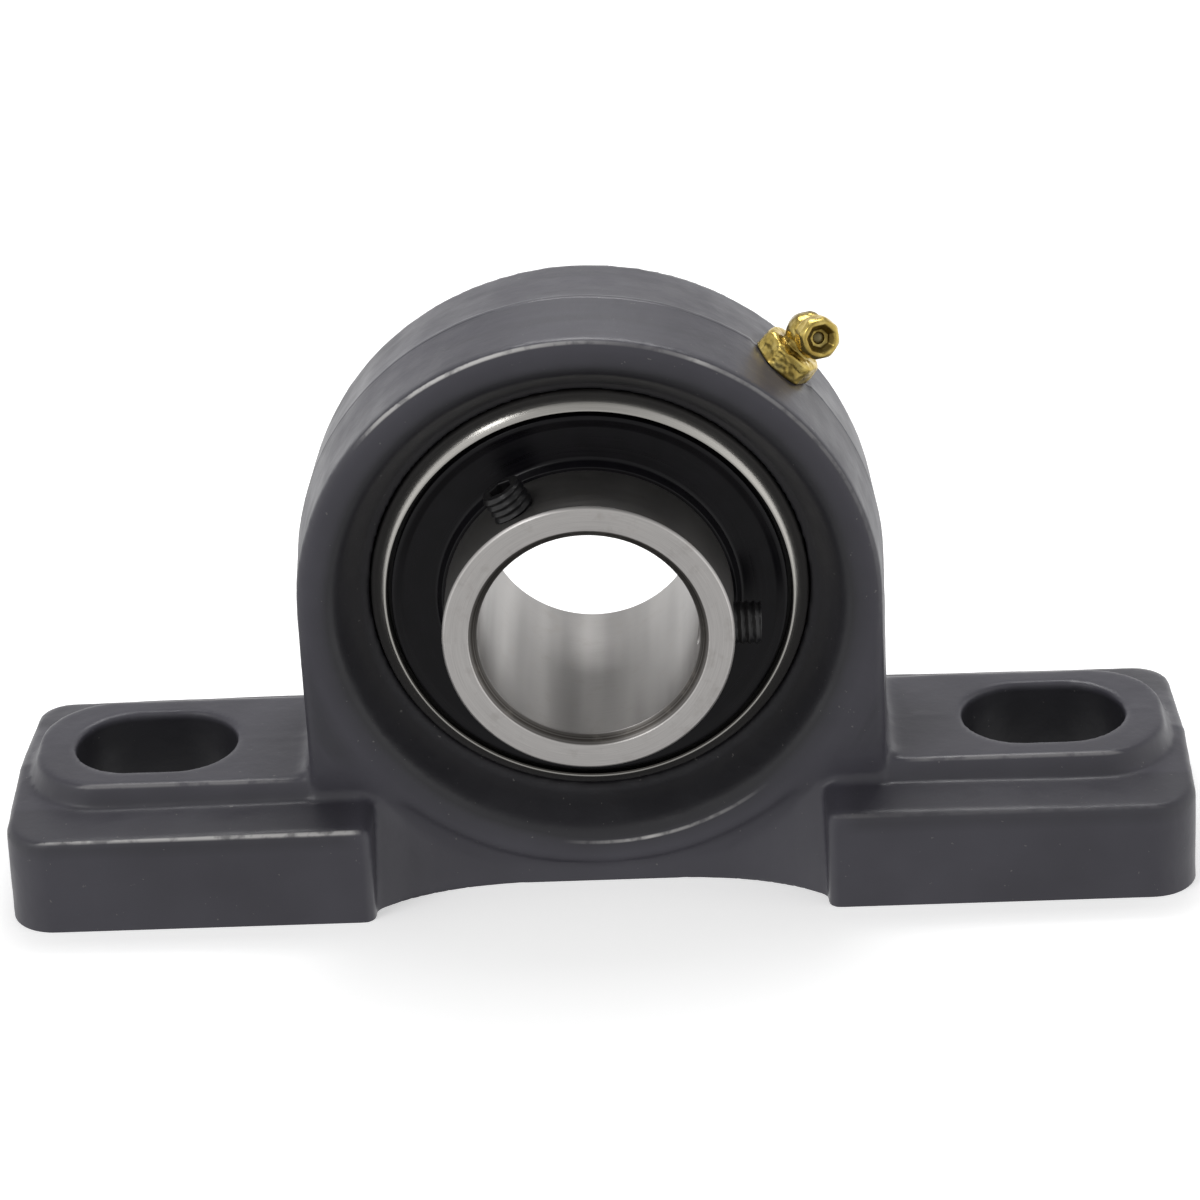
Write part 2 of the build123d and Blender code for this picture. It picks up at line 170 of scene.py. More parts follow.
def carve(obj, cutters, operation="DIFFERENCE"):
    for me in cutters:
        tool = link(bpy.data.objects.new("tool", me))
        b = obj.modifiers.new("cut", "BOOLEAN")
        b.operation, b.solver, b.object = operation, "EXACT", tool
        baked(obj)
        bpy.data.objects.remove(tool)


def welded(node):
    me = nodes[node].data.copy()
    bm = bmesh.new()
    bm.from_mesh(me)
    bmesh.ops.remove_doubles(bm, verts=bm.verts, dist=2e-6)
    bm.to_mesh(me)
    bm.free()
    me.materials.clear()
    return me


def relax(co, edges, rounds):
    """low-pass filter that keeps the volume"""
    a, b = edges[:, 0], edges[:, 1]
    count = np.bincount(np.concatenate((a, b)), minlength=len(co)).astype(float)[:, None]
    for step in range(rounds * 2):
        total = np.zeros_like(co)
        np.add.at(total, a, co[b])
        np.add.at(total, b, co[a])
        co = co + (0.5 if step % 2 == 0 else -0.53) * (total / count - co)
    return co


def remeshed(name, me, voxel, rounds, below=None):
    """the closed mesh rebuilt in even faces; below drops its flat underside first, for trim_below to cut off again
    after
    """
    obj = link(bpy.data.objects.new(name, me))
    if below:
        bm = bmesh.new()
        bm.from_mesh(me)
        under = [f for f in bm.faces if f.normal.z < -0.999 and f.calc_center_median().z < 1e-5]
        grown = bmesh.ops.extrude_face_region(bm, geom=under)["geom"]
        bmesh.ops.delete(bm, geom=under, context="FACES")
        bmesh.ops.translate(bm, verts=[v for v in grown if isinstance(v, bmesh.types.BMVert)], vec=(0, 0, -below * MM))
        bm.to_mesh(me)
        bm.free()
    r = obj.modifiers.new("remesh", "REMESH")
    r.mode, r.voxel_size, r.adaptivity = "VOXEL", voxel * MM, 0.0
    me = baked(obj)
    co = np.empty(len(me.vertices) * 3)
    me.vertices.foreach_get("co", co)
    co = co.reshape(-1, 3) / MM
    edges = np.empty(len(me.edges) * 2, dtype=np.int64)
    me.edges.foreach_get("vertices", edges)
    edges = edges.reshape(-1, 2)
    return obj, me, relax(co, edges, rounds), edges


def trim_below(me, z=0.0):
    """cuts the mesh off at a height and closes it with a flat face"""
    bm = bmesh.new()
    bm.from_mesh(me)
    geom = bm.verts[:] + bm.edges[:] + bm.faces[:]
    cut = bmesh.ops.bisect_plane(bm, geom=geom, dist=1e-7, plane_co=(0, 0, z), plane_no=(0, 0, 1), clear_inner=True)["geom_cut"]
    rim = [e for e in cut if isinstance(e, bmesh.types.BMEdge)]
    bmesh.ops.triangle_fill(bm, edges=rim, use_beauty=True)
    # the fill can fold a sliver back along a nearly straight rim, which leaves four faces on one edge
    folded = [e for e in bm.edges if len(e.link_faces) > 2]
    if folded:
        bmesh.ops.collapse(bm, edges=folded)
    bmesh.ops.recalc_face_normals(bm, faces=bm.faces)
    bm.to_mesh(me)
    bm.free()
    me.update()


def place(me, co):
    me.vertices.foreach_set("co", (co * MM).ravel())
    me.update()
    me.shade_smooth()


def normals_of(me):
    n = np.empty(len(me.vertices) * 3)
    me.vertex_normals.foreach_get("vector", n)
    return n.reshape(-1, 3)


def finish_piece(obj, node, body, material):
    obj.data.materials.clear()
    obj.data.materials.append(material)
    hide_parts(node)
    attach(obj, body)
    return obj


# ---------------------------------------------------------------- node helpers
def new_material(name):
    m = bpy.data.materials.new(name)
    m.use_nodes = True
    t = m.node_tree
    t.nodes.clear()
    out = t.nodes.new("ShaderNodeOutputMaterial")
    shader = t.nodes.new("ShaderNodeBsdfPrincipled")
    t.links.new(shader.outputs[0], out.inputs[0])
    return m, t, shader


def set_socket(node, **values):
    for key, value in values.items():
        node.inputs[key.replace("_", " ")].default_value = value


def position(t):
    n = t.nodes.new("ShaderNodeTexCoord")
    return n.outputs["Object"]


def noise(t, vector, scale, detail=3.0, rough=0.5, distortion=0.0):
    n = t.nodes.new("ShaderNodeTexNoise")
    n.inputs["Scale"].default_value = scale
    n.inputs["Detail"].default_value = detail
    n.inputs["Roughness"].default_value = rough
    n.inputs["Distortion"].default_value = distortion
    t.links.new(vector, n.inputs["Vector"])
    return n.outputs["Fac"]


def ramp(t, fac, stops):
    n = t.nodes.new("ShaderNodeValToRGB")
    e = n.color_ramp.elements
    while len(e) < len(stops):
        e.new(0.5)
    for el, (p, c) in zip(e, stops):
        el.position = p
        el.color = (c[0], c[1], c[2], 1) if hasattr(c, "__len__") else (c, c, c, 1)
    t.links.new(fac, n.inputs[0])
    return n.outputs[0]


def spread(t, fac, low, high, lo_in=0.0, hi_in=1.0):
    n = t.nodes.new("ShaderNodeMapRange")
    n.inputs["From Min"].default_value = lo_in
    n.inputs["From Max"].default_value = hi_in
    n.inputs["To Min"].default_value = low
    n.inputs["To Max"].default_value = high
    t.links.new(fac, n.inputs["Value"])
    return n.outputs[0]


def maths(t, op, a, b=None, c=None):
    n = t.nodes.new("ShaderNodeMath")
    n.operation = op
    for i, v in enumerate((a, b, c)):
        if v is None:
            continue
        if isinstance(v, (int, float)):
            n.inputs[i].default_value = v
        else:
            t.links.new(v, n.inputs[i])
    return n.outputs[0]


def mix_colour(t, fac, a, b, blend="MIX"):
    n = t.nodes.new("ShaderNodeMix")
    n.data_type = "RGBA"
    n.blend_type = blend
    for socket, v in ((n.inputs[0], fac), (n.inputs[6], a), (n.inputs[7], b)):
        if isinstance(v, (int, float)):
            socket.default_value = v
        elif hasattr(v, "__len__"):
            socket.default_value = (v[0], v[1], v[2], 1)
        else:
            t.links.new(v, socket)
    return n.outputs[2]


def bump(t, height, strength, distance, normal=None):
    n = t.nodes.new("ShaderNodeBump")
    n.inputs["Strength"].default_value = strength
    n.inputs["Distance"].default_value = distance
    t.links.new(height, n.inputs["Height"])
    if normal is not None:
        t.links.new(normal, n.inputs["Normal"])
    return n.outputs[0]


def polar(t, centre=(0, 0, AXIS_Z)):
    """radius, angle and distance along the shaft of a point"""
    sub = t.nodes.new("ShaderNodeVectorMath")
    sub.operation = "SUBTRACT"
    t.links.new(position(t), sub.inputs[0])
    sub.inputs[1].default_value = centre
    sep = t.nodes.new("ShaderNodeSeparateXYZ")
    t.links.new(sub.outputs[0], sep.inputs[0])
    x, y, z = sep.outputs
    r = maths(t, "SQRT", maths(t, "ADD", maths(t, "MULTIPLY", x, x), maths(t, "MULTIPLY", z, z)))
    a = maths(t, "ARCTAN2", z, x)
    return r, a, y, x, z


def combine(t, x, y, z):
    n = t.nodes.new("ShaderNodeCombineXYZ")
    for i, v in enumerate((x, y, z)):
        if isinstance(v, (int, float)):
            n.inputs[i].default_value = v
        else:
            t.links.new(v, n.inputs[i])
    return n.outputs[0]


# ---------------------------------------------------------------- materials
def mm_parts(t):
    """position in millimetres from the bore's centre: radius, angle, along the shaft, x, height above it"""
    r, a, y, x, z = polar(t)
    k = [maths(t, "MULTIPLY", v, 1000.0) for v in (r, y, x, z)]
    return k[0], a, k[1], k[2], k[3]


def band(t, value, centre, width):
    """1 on the line value = centre, falling to 0 at width either side"""
    off = maths(t, "ABSOLUTE", maths(t, "SUBTRACT", value, centre))
    return spread(t, off, 1.0, 0.0, width * 0.35, width)


def near_ring(t, r, y, r0, y0, width):
    """1 on the circle of radius r0 at y0"""
    dr = maths(t, "SUBTRACT", r, r0)
    dy = maths(t, "SUBTRACT", y, y0)
    gap = maths(t, "SQRT", maths(t, "ADD", maths(t, "MULTIPLY", dr, dr), maths(t, "MULTIPLY", dy, dy)))
    return spread(t, gap, 1.0, 0.0, width * 0.4, width)


def times(t, *values):
    out = values[0]
    for v in values[1:]:
        out = maths(t, "MULTIPLY", out, v)
    return out


def arc_ramp(t, angle, stops):
    """values at angles in degrees, -180 to 180"""
    return ramp(t, spread(t, angle, 0.0, 1.0, -pi, pi), [((d + 180) / 360, v) for d, v in stops])


def paint_material():
    """charcoal enamel over a sand casting, with painted highlights along some edges, broken up like rubbed paint, and
    painted shade in the bowl, round the slots and on the foot shelves
    """
    m, t, s = new_material("cast_paint")
    p = position(t)
    r, a, y, x, z = mm_parts(t)
    broad = noise(t, p, 55, 3)
    base = ramp(t, broad, [(0.3, (0.043, 0.041, 0.052)), (0.7, (0.058, 0.056, 0.070))])
    # faint sweeps round the barrel, left by fettling
    sweeps = noise(t, combine(t, maths(t, "MULTIPLY", y, 0.55), maths(t, "MULTIPLY", r, 0.3), maths(t, "MULTIPLY", a, 1.6)), 1.0, 3, 0.55)
    on_barrel = times(t, spread(t, r, 0.0, 1.0, 38.9, 39.7), spread(t, z, 0.0, 1.0, -24.0, -21.0))
    base = mix_colour(t, times(t, on_barrel, spread(t, sweeps, 0.0, 0.55, 0.45, 0.7)), base, (0.030, 0.030, 0.036))
    # painted shade: the colour is darkened in the bowl round the seat, a recess that lies in shade
    bowl_shade = times(t, spread(t, r, 1.0, 0.0, 36.2, 38.6), spread(t, maths(t, "ABSOLUTE", y), 1.0, 0.0, 13.2, 13.6))
    base = mix_colour(t, maths(t, "MULTIPLY", bowl_shade, 0.78), base, (0.012, 0.012, 0.014))
    # painted highlights along the edges, broken up by chips like rubbed paint
    chips = spread(t, noise(t, p, 380, 3, 0.6), 0.0, 1.0, 0.36, 0.50)
    # painted highlight on the barrel's front rim, strongest round the upper left
    rim = near_ring(t, r, y, 39.62, -13.12, 0.36)
    rim = times(t, rim, arc_ramp(t, a, [(-10, 0.0), (30, 0.15), (50, 0.28), (62, 0.35), (66, 0.75), (69, 0.3), (80, 0.12), (97, 0.6), (106, 1.0), (120, 1.0), (133, 0.8), (140, 0.0)]))
    # painted highlight on the bowl's lip at its lower right
    lip = times(t, near_ring(t, r, y, 36.6, -13.28, 0.34), arc_ramp(t, a, [(-98, 0.0), (-86, 0.45), (-79, 1.0), (-76, 0.6), (-62, 0.35), (-50, 0.0)]))
    side = maths(t, "ABSOLUTE", x)
    top = maths(t, "ADD", z, 42.9)
    along = maths(t, "MAXIMUM", maths(t, "SUBTRACT", maths(t, "ABSOLUTE", maths(t, "SUBTRACT", side, 62.8)), 3.0), 0.0)
    from_slot = maths(t, "SQRT", maths(t, "ADD", maths(t, "MULTIPLY", along, along), maths(t, "MULTIPLY", y, y)))
    # painted shade: round the bolt slots, below the pad tops, the colour is darkened
    slot_wall_shade = times(t, spread(t, from_slot, 1.0, 0.0, 8.6, 8.9), spread(t, top, 1.0, 0.0, 16.2, 17.0))
    base = mix_colour(t, maths(t, "MULTIPLY", slot_wall_shade, 0.75), base, (0.010, 0.010, 0.012))
    # painted shade: the foot shelves in front of and behind the barrel are darkened
    shelf_shade = times(t, spread(t, maths(t, "ABSOLUTE", y), 0.0, 1.0, 12.6, 13.4), band(t, top, 14.0, 2.6), spread(t, side, 0.0, 1.0, 33.0, 36.0))
    base = mix_colour(t, maths(t, "MULTIPLY", shelf_shade, 0.30), base, (0.012, 0.012, 0.014))
    # painted highlight along the feet's front top edges, fading from left to right
    foot_edge_highlight = times(t, band(t, y, -22.05, 0.36), band(t, top, 14.2, 0.45), spread(t, side, 0.0, 1.0, 32.5, 34.0))
    foot_edge_highlight = times(t, foot_edge_highlight, spread(t, x, 0.8, 0.06, -40.0, 40.0))
    # faint painted highlight along the pads' front and back edges
    pad_edge_highlight = times(t, band(t, top, 17.3, 0.35), band(t, maths(t, "ABSOLUTE", y), 12.25, 0.5), spread(t, side, 0.0, 0.22, 42.0, 46.0))
    # the painted highlights are mixed into the colour as light grey
    painted_edge_highlight = maths(t, "MAXIMUM", maths(t, "MAXIMUM", rim, lip), maths(t, "MAXIMUM", foot_edge_highlight, pad_edge_highlight))
    painted_edge_highlight = times(t, painted_edge_highlight, maths(t, "ADD", maths(t, "MULTIPLY", chips, 0.65), 0.35))
    base = mix_colour(t, painted_edge_highlight, base, (0.52, 0.51, 0.50))
    # specks
    specks = times(t, spread(t, noise(t, p, 1300, 2, 0.5), 0.0, 1.0, 0.735, 0.76), 0.6)
    base = mix_colour(t, specks, base, (0.16, 0.155, 0.15))
    t.links.new(base, s.inputs["Base Color"])
    rough = spread(t, noise(t, p, 140, 3), 0.33, 0.46, 0.3, 0.7)
    t.links.new(maths(t, "ADD", rough, maths(t, "MULTIPLY", sweeps, 0.06)), s.inputs["Roughness"])
    grain = bump(t, noise(t, p, 1100, 4, 0.6), 0.30, 0.00010)
    lumps = bump(t, noise(t, p, 260, 2), 0.28, 0.00022, grain)
    ridge = bump(t, maths(t, "MAXIMUM", times(t, band(t, y, 0.0, 0.55), on_barrel, 0.8), times(t, lip, 1.0)), 0.6, 0.00016, lumps)
    t.links.new(ridge, s.inputs["Normal"])
    set_socket(s, Specular_IOR_Level=0.5)
    return m


def ground_material(name="ground_steel", base=(0.62, 0.60, 0.585), rough=(0.36, 0.50), bore=0.60, aniso=0.25, marks_and_painted_shade=True):
    """bearing steel, ground round the shaft; the chamfers keep the scale of heat treatment; the bore and the outside
    carry painted shade
    """
    m, t, s = new_material(name)
    r, a, y, x, z = mm_parts(t)
    marks = noise(t, combine(t, maths(t, "MULTIPLY", r, 9.0), maths(t, "MULTIPLY", y, 9.0), maths(t, "MULTIPLY", a, 3.0)), 1.0, 3, 0.6)
    stain = noise(t, combine(t, 3.0, maths(t, "MULTIPLY", y, 0.012), maths(t, "MULTIPLY", a, 2.3)), 1.0, 2, 0.5)
    c = ramp(t, marks, [(0.3, tuple(v * 0.90 for v in base)), (0.7, tuple(min(1, v * 1.07) for v in base))])
    if marks_and_painted_shade:
        # painted shade and painted reflection: the bore is darkened to 0.43 to 0.75 of the ring's colour, in soft
        # lengthwise streaks
        in_bore = spread(t, r, 1.0, 0.0, 15.05, 15.2)
        bore_streak_shade = spread(t, stain, bore * 0.72, bore * 1.25, 0.32, 0.70)
        c = mix_colour(t, in_bore, c, mix_colour(t, 1.0, c, combine(t, bore_streak_shade, bore_streak_shade, bore_streak_shade), "MULTIPLY"))
        # painted shade: the outside is darkened evenly all round, to 0.36 to 0.48 of the ground faces' colour
        outside = times(t, spread(t, r, 0.0, 1.0, 19.45, 19.7), spread(t, y, 1.0, 0.0, -10.0, -9.0))
        outside_shade = spread(t, stain, 0.36, 0.48, 0.32, 0.70)
        c = mix_colour(t, outside, c, mix_colour(t, 1.0, c, combine(t, outside_shade, outside_shade, outside_shade), "MULTIPLY"))
        ends = maths(t, "MAXIMUM", spread(t, y, 1.0, 0.0, -20.85, -20.7), spread(t, y, 0.0, 1.0, 14.45, 14.6))
        bevel = times(t, spread(t, r, 0.0, 1.0, 15.04, 15.12), spread(t, r, 1.0, 0.0, 16.12, 16.24), ends)
        rings = spread(t, noise(t, combine(t, maths(t, "MULTIPLY", r, 3.4), 0.0, 0.0), 1.0, 1), 0.82, 1.0, 0.4, 0.6)
        c = mix_colour(t, times(t, bevel, rings), c, (0.055, 0.05, 0.045))
        # handling stains on the faces
        c = mix_colour(t, spread(t, noise(t, position(t), 420, 4, 0.65), 0.0, 0.22, 0.55, 0.72), c, (0.30, 0.27, 0.235))
    t.links.new(c, s.inputs["Base Color"])
    t.links.new(spread(t, marks, rough[0], rough[1], 0.3, 0.7), s.inputs["Roughness"])
    t.links.new(bump(t, marks, 0.28, 0.00002), s.inputs["Normal"])
    if aniso:
        tangent = t.nodes.new("ShaderNodeTangent")
        tangent.direction_type, tangent.axis = "RADIAL", "Y"
        t.links.new(tangent.outputs[0], s.inputs["Tangent"])
        set_socket(s, Anisotropic=aniso, Anisotropic_Rotation=0.25)
    set_socket(s, Metallic=1.0)
    return m


def slinger_material():
    """black zinc on pressed sheet, with faint marks round the shaft from the press"""
    m, t, s = new_material("slinger_black")
    p = position(t)
    r, a, y, x, z = mm_parts(t)
    n = noise(t, p, 400, 3)
    rings = noise(t, combine(t, maths(t, "MULTIPLY", r, 2.4), 0.0, maths(t, "MULTIPLY", a, 0.8)), 1.0, 3)
    t.links.new(ramp(t, n, [(0.3, (0.0018, 0.0016, 0.0026)), (0.7, (0.0036, 0.0030, 0.0048))]), s.inputs["Base Color"])
    t.links.new(spread(t, rings, 0.24, 0.40, 0.3, 0.7), s.inputs["Roughness"])
    t.links.new(bump(t, rings, 0.2, 0.00004, bump(t, n, 0.12, 0.00004)), s.inputs["Normal"])
    set_socket(s, Specular_IOR_Level=0.24)
    return m


def rubber_material():
    m, t, s = new_material("seal_rubber")
    n = noise(t, position(t), 1500, 2)
    t.links.new(ramp(t, n, [(0.3, (0.010, 0.010, 0.010)), (0.7, (0.018, 0.018, 0.018))]), s.inputs["Base Color"])
    t.links.new(spread(t, n, 0.5, 0.7), s.inputs["Roughness"])
    t.links.new(bump(t, n, 0.2, 0.00003), s.inputs["Normal"])
    return m


def screw_material():
    """black oxide with a film of oil"""
    m, t, s = new_material("screw_black")
    p = position(t)
    n = noise(t, p, 700, 3)
    t.links.new(ramp(t, n, [(0.3, (0.004, 0.004, 0.005)), (0.7, (0.010, 0.0095, 0.010))]), s.inputs["Base Color"])
    t.links.new(spread(t, n, 0.30, 0.46, 0.3, 0.7), s.inputs["Roughness"])
    t.links.new(bump(t, noise(t, p, 2200, 2), 0.15, 0.00003), s.inputs["Normal"])
    set_socket(s, Specular_IOR_Level=0.45)
    return m


def brass_material():
    """cast and tumbled brass, dark where the fitting's parts meet"""
    m, t, s = new_material("plated_brass")
    p = position(t)
    n = noise(t, p, 480, 4, 0.6)
    c = ramp(t, n, [(0.28, (0.36, 0.245, 0.060)), (0.5, (0.56, 0.42, 0.115)), (0.72, (0.74, 0.60, 0.22))])
    # height along the fitting and along its nose, in millimetres
    foot = t.nodes.new("ShaderNodeVectorMath")
    foot.operation = "SUBTRACT"
    t.links.new(p, foot.inputs[0])
    foot.inputs[1].default_value = tuple((CENTRE + FIT_AXIS * 46.0) * MM)
    along = t.nodes.new("ShaderNodeVectorMath")
    along.operation = "DOT_PRODUCT"
    t.links.new(foot.outputs[0], along.inputs[0])
    along.inputs[1].default_value = tuple(NOSE_AXIS * 1000)
    h = along.outputs["Value"]
    length = t.nodes.new("ShaderNodeVectorMath")
    length.operation = "LENGTH"
    t.links.new(foot.outputs[0], length.inputs[0])
    q = maths(t, "MULTIPLY", length.outputs["Value"], 1000.0)
    off = maths(t, "SQRT", maths(t, "MAXIMUM", maths(t, "SUBTRACT", maths(t, "MULTIPLY", q, q), maths(t, "MULTIPLY", h, h)), 0.0))
    groove = times(t, band(t, h, 2.25, 0.75), spread(t, off, 1.0, 0.0, 2.35, 2.9))
    mouth = times(t, spread(t, h, 0.0, 1.0, 3.9, 4.2), spread(t, off, 1.0, 0.0, 1.75, 2.0))
    neck = times(t, spread(t, h, 1.0, 0.0, 0.8, 1.8), spread(t, q, 0.0, 0.8, 2.75, 3.0), spread(t, q, 1.0, 0.0, 3.0, 3.9))
    dark = maths(t, "MAXIMUM", maths(t, "MAXIMUM", groove, maths(t, "MULTIPLY", mouth, 0.72)), neck)
    c = mix_colour(t, dark, c, (0.085, 0.058, 0.016))
    t.links.new(c, s.inputs["Base Color"])
    t.links.new(spread(t, noise(t, p, 900, 3), 0.22, 0.42, 0.3, 0.7), s.inputs["Roughness"])
    t.links.new(bump(t, noise(t, p, 620, 4, 0.6), 0.35, 0.00014), s.inputs["Normal"])
    set_socket(s, Metallic=1.0)
    return m


CENTRE = Vector((0, 0, SHAFT))
FIT_ANGLE = radians(47.5)
FIT_AXIS = Vector((cos(FIT_ANGLE), 0, sin(FIT_ANGLE)))
NOSE_AXIS = Vector((0.31198, -0.921032, 0.233172)).normalized()
PAINT = paint_material()
GROUND = ground_material()
RING = ground_material("lapped_steel", (0.52, 0.505, 0.475), (0.16, 0.24), aniso=0.0, marks_and_painted_shade=False)
VALVE = ground_material("valve_steel", (0.20, 0.165, 0.08), (0.3, 0.42), aniso=0.0, marks_and_painted_shade=False)
BALL = ground_material("ball_steel", (0.7, 0.7, 0.71), (0.05, 0.1), aniso=0.0, marks_and_painted_shade=False)
SLINGER = slinger_material()
RUBBER = rubber_material()
CAGE = ground_material("cage_steel", (0.55, 0.54, 0.52), (0.3, 0.42), aniso=0.0, marks_and_painted_shade=False)
SCREW = screw_material()
BRASS = brass_material()
SPRING = ground_material("spring_steel", (0.5, 0.5, 0.5), (0.25, 0.35), aniso=0.0, marks_and_painted_shade=False)


def wear(obj, material):
    obj.data.materials.clear()
    obj.data.materials.append(material)
    for p in obj.data.polygons:
        p.material_index = 0


for name, material in {
    "housing": PAINT, "outer_ring": GROUND, "inner_ring": GROUND, "front_seal": RUBBER, "rear_seal": RUBBER,
    "front_slinger": SLINGER, "rear_slinger": SLINGER, "cage_front": CAGE, "cage_rear": CAGE, "cage_rivets": CAGE,
    "set_screw_1": SCREW, "set_screw_2": SCREW, "grease_fitting": BRASS, "fitting_ball": VALVE, "fitting_spring": SPRING,
    **{f"ball_{k}": BALL for k in range(1, 10)},
}.items():
    wear(nodes[name], material)

# ---------------------------------------------------------------- pieces
FIT_FACE = 40.2
SEAT_R = 31.05
BORE_R, INNER_R, INNER_FRONT, INNER_BACK = 15.0, 19.75, -22.2, 15.9
SCREW_Y, SCREW_R, SCREW_IN, SCREW_LEN = -17.2, 3.0, 15.25, 8.2
SCREW_ANGLES = (118.0, -2.0)


def smooth_step(a, b, v):
    t = max(0.0, min(1.0, (v - a) / (b - a)))
    return t * t * (3 - 2 * t)


def housing_casting():
    """the sand casting: soft edges, uneven skin and a fettled parting line; its machined faces stay true"""
    src = welded("housing")
    tree = BVHTree.FromPolygons([Vector(v.co) / MM for v in src.vertices], [tuple(p.vertices) for p in src.polygons])
    obj, me, co, edges = remeshed("housing_casting", src, 0.64, 2, below=2.0)
    place(me, co)
    nor = normals_of(me)
    out = co.copy()
    for i in range(len(co)):
        p = Vector(co[i])
        x, y, z = p
        if z < -0.3:
            continue
        near, face_n, _, gap = tree.find_nearest(p)
        d = p - CENTRE
        ball = d.length
        spot = d.dot(FIT_AXIS)
        off_axis = (d - FIT_AXIS * spot).length
        radial = sqrt(x * x + (z - SHAFT) ** 2)
        machined = (
            (abs(ball - SEAT_R) < 0.9 and abs(y) < 7.7)
            or (abs(radial - SEAT_R) < 0.9 and abs(x) < 10.4 and y > 6.8)
            or (off_axis < 5.4 and 28 < spot < 41.2)
        )
        # the step from the seat to the flare is turned with the seat, so it keeps its even surface
        seat_step = 7.0 < abs(y) < 9.2 and radial < 33.0 and (abs(x) > 10.4 or y < 0)
        if seat_step:
            continue
        if machined:
            out[i] = near
            if abs(ball - SEAT_R) < 0.5 and abs(y) < 7.2:
                out[i] = CENTRE + d.normalized() * (SEAT_R + 0.01)
            continue
        n = Vector(nor[i])
        # near the underside the faces run straight down, so only the plan position follows the CAD
        pull = 0.45 if z > 1.5 else 0.0
        into_flare = smooth_step(32.3, 34.2, radial) if abs(y) < 12.5 and radial < 34.2 else 1.0
        pull = max(pull, 1 - into_flare)
        q = p * (1 - pull) + near * pull
        skin = 0.075 * pattern.noise(q * 0.085) + 0.035 * pattern.noise(q * 0.31 + Vector((7, 3, 1)))
        skin += 0.016 * pattern.noise(q * 0.9 + Vector((2, 9, 4)))
        barrel = radial if z > SHAFT else abs(x)
        if (z > 17.5 and barrel > 39.2) or abs(x) > 81.0:
            run = 0.6 + 0.8 * pattern.noise(Vector((q.x * 0.12, 0, q.z * 0.12)) + Vector((5, 5, 5)))
            skin += 0.08 * max(0.15, run) * exp(-((y - 0.15 * pattern.noise(q * 0.2)) / 0.5) ** 2)
        # the web falls back sharply round the foot of the barrel's face
        if abs(y) > 11.5 and z < 16 and abs(x) < 31 and abs(n.y) > 0.6:
            step = smooth_step(39.2, 40.6, radial) * smooth_step(15.0, 12.0, z) * smooth_step(31, 27, abs(x))
            q.y -= (1 if y > 0 else -1) * 0.42 * step
        out[i] = q + n * skin * into_flare * smooth_step(-0.3, 2.0, z)
    place(me, out)
    trim_below(me)
    me.shade_smooth()
    obj = finish_piece(obj, "housing", "housing", PAINT)
    me.set_sharp_from_angle(angle=radians(50))
    # the small step beside the seat is softly rounded, with no hard line
    sharp = me.attributes.get("sharp_edge")
    if sharp:
        for e in me.edges:
            p = (me.vertices[e.vertices[0]].co + me.vertices[e.vertices[1]].co) / (2 * MM)
            if 6.8 < abs(p.y) < 9.6 and 29.6 < sqrt(p.x ** 2 + (p.z - SHAFT) ** 2) < 33.4:
                sharp.data[e.index].value = False
    return obj


def outer_ring_piece():
    """flat lip round the seal recess, then a long lapped corner running into the sphere"""
    half = 9.5
    # a narrow flat lip, then a bevel that eases into the sphere
    y_end = 7.7
    r_end = sqrt(31.0 ** 2 - y_end ** 2)
    lip = 28.13
    corner = [(half, lip), (half - 0.05, lip + 0.09)]
    for k in range(1, 11):
        t = k / 10
        bow = 0.16 * 4 * t * (1 - t)
        corner.append((half - 0.05 - (half - 0.05 - y_end) * t + bow * 0.7, lip + 0.09 + (r_end - lip - 0.09) * t + bow * 0.7))
    sphere = [(y, sqrt(31.0 ** 2 - y * y)) for y in np.linspace(y_end, 1.5, 10)[1:]]
    groove = [(1.3, sqrt(31.0 ** 2 - 1.69)), (1.3, 30.4)]
    right = [(half, 27.95)] + corner + sphere + groove
    left = [(-y, r) for y, r in reversed(right)]
    inside = [(-9.35, 27.8), (-6.3, 27.8), (-6.3, 26.3), (-4.0, 26.3)]
    race = []
    top, rr = 23.0 + 9.525 / 2 + 0.05 - 4.95, 4.95
    for k in range(13):
        y = -4.0 + 8.0 * k / 12
        race.append((y, max(26.3, top + sqrt(max(rr * rr - y * y, 0)))))
    inside += race + [(4.0, 26.3), (6.3, 26.3), (6.3, 27.8), (9.35, 27.8)]
    # outside from back to front, then inside from front to back
    outline = right + left + inside
    me = lathe("outer_ring_lapped", [(float(y), float(r)) for y, r in outline], 256)
    obj = link(bpy.data.objects.new("outer_ring_lapped", me))
    return finish_piece(obj, "outer_ring", "insert", RING)


